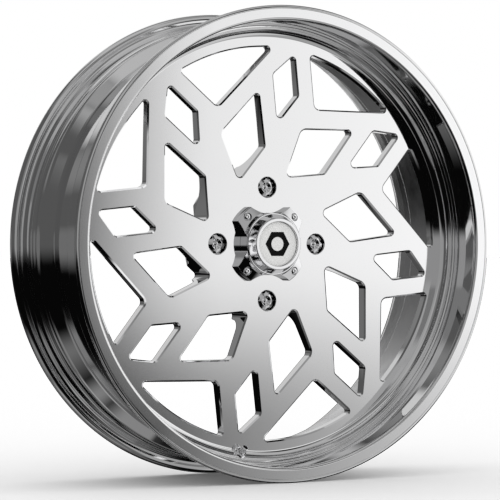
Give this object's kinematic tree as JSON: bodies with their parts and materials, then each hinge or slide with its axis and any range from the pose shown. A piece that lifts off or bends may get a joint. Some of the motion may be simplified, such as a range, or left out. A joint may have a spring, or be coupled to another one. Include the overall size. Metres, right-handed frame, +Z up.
{
  "type": "forged wheel rim",
  "caption": "Polished two-piece forged wheel rim with a flat branching-spoke centre, stepped barrel, lug nuts, lobed hub cap and inflation valve; no tyre.",
  "frame": {"origin": "on the axle at the hub's mounting face, which is the middle of the barrel's width", "axes": "-Y along the axle to the outer side, +Z up, +X to the right seen from the outer side"},
  "size_m": [0.6489, 0.204, 0.649],
  "materials": {
    "polished_centre": "mirror polished",
    "polished_barrel": "mirror polished",
    "weld_metal": "as welded, brushed",
    "cap_chrome": "mirror polished",
    "badge_white": "gloss",
    "badge_black": "gloss",
    "fastener_chrome": "chrome plated",
    "valve_chrome": "chrome plated",
    "valve_brass": "machined",
    "spring_steel": "drawn wire",
    "black_rubber": "matte"
  },
  "bodies": {
    "wheel": {"center_disc": "polished_centre", "rim_barrel": "polished_barrel", "front_weld": "polished_barrel", "rear_weld": "weld_metal", "cap_base": "cap_chrome", "cap_o_ring": "black_rubber", "cap_screw_1": "fastener_chrome", "cap_screw_2": "fastener_chrome", "cap_screw_3": "fastener_chrome", "cap_screw_4": "fastener_chrome", "valve_stem": "valve_chrome", "valve_grommet": "black_rubber", "valve_washer": "valve_chrome", "valve_nut": "valve_chrome", "core_housing": "valve_brass", "core_spring": "spring_steel"},
    "cap_cover": {"cap_lid": "cap_chrome", "lid_o_ring": "black_rubber", "cap_badge": "badge_white", "badge_mark": "badge_black"},
    "nut_right": {"lug_nut_1": "fastener_chrome"},
    "nut_top": {"lug_nut_2": "fastener_chrome"},
    "nut_left": {"lug_nut_3": "fastener_chrome"},
    "nut_bottom": {"lug_nut_4": "fastener_chrome"},
    "valve_pin": {"core_pin": "valve_brass", "core_seal": "black_rubber"},
    "valve_cap_inner": {"valve_cap_seal": "black_rubber"},
    "valve_cap_shell": {"valve_cap": "valve_chrome"}
  },
  "joints": [
    {"name": "cap_cover_pull", "type": "slide", "parent": "wheel", "child": "cap_cover", "axis": [0, -1, 0], "range_m": [0, 0.03]},
    {"name": "nut_right_removal", "type": "slide", "parent": "wheel", "child": "nut_right", "axis": [0, -1, 0], "range_m": [0, 0.045]},
    {"name": "nut_top_removal", "type": "slide", "parent": "wheel", "child": "nut_top", "axis": [0, -1, 0], "range_m": [0, 0.045]},
    {"name": "nut_left_removal", "type": "slide", "parent": "wheel", "child": "nut_left", "axis": [0, -1, 0], "range_m": [0, 0.045]},
    {"name": "nut_bottom_removal", "type": "slide", "parent": "wheel", "child": "nut_bottom", "axis": [0, -1, 0], "range_m": [0, 0.045]},
    {"name": "valve_pin_press", "type": "slide", "parent": "wheel", "child": "valve_pin", "axis": [-0.0921, 0.788, -0.6087], "range_m": [0, 0.0012], "stiffness_N_per_m": 300, "springref_m": -0.002, "deforming": ["core_spring"]},
    {"name": "valve_cap_lift", "type": "slide", "parent": "wheel", "child": "valve_cap_inner", "axis": [0.0921, -0.788, 0.6087], "range_m": [0, 0.007]},
    {"name": "valve_cap_turn", "type": "hinge", "parent": "valve_cap_inner", "child": "valve_cap_shell", "pos_m": [-0.04344, -0.04072, -0.28723], "axis": [0.0921, -0.788, 0.6087], "range_deg": [0, 3175]}
  ],
  "couplings": [
    {"joint": "valve_cap_turn", "follows": "valve_cap_lift", "rad_per_m": 7913.3}
  ]
}
